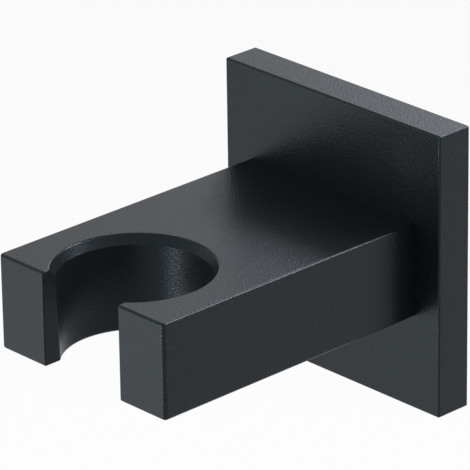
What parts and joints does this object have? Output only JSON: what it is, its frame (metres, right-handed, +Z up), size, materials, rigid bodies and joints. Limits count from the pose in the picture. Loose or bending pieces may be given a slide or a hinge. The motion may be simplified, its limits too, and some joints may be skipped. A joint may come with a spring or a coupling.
{
  "type": "hand shower holder",
  "caption": "Fixed square wall holder for a hand shower: a flat arm with a cone seat and hose slot on a hollow cover plate, hooked over a hidden wall bracket.",
  "frame": {"origin": "middle of the back face, on the wall", "axes": "+Y into the wall, the arm stands out along -Y, +X to the right as seen from the room, +Z up"},
  "size_m": [0.045, 0.056, 0.045],
  "materials": {
    "black_coating": "fine-grained matt black coating on brass",
    "stainless_screw": "plain stainless steel",
    "zinc_plated_bracket": "zinc-plated steel"
  },
  "bodies": {
    "root": {"arm": "black_coating", "cover_plate": "black_coating", "arm_screws": "stainless_screw", "wall_bracket": "zinc_plated_bracket", "grub_screw": "stainless_screw"}
  },
  "joints": []
}
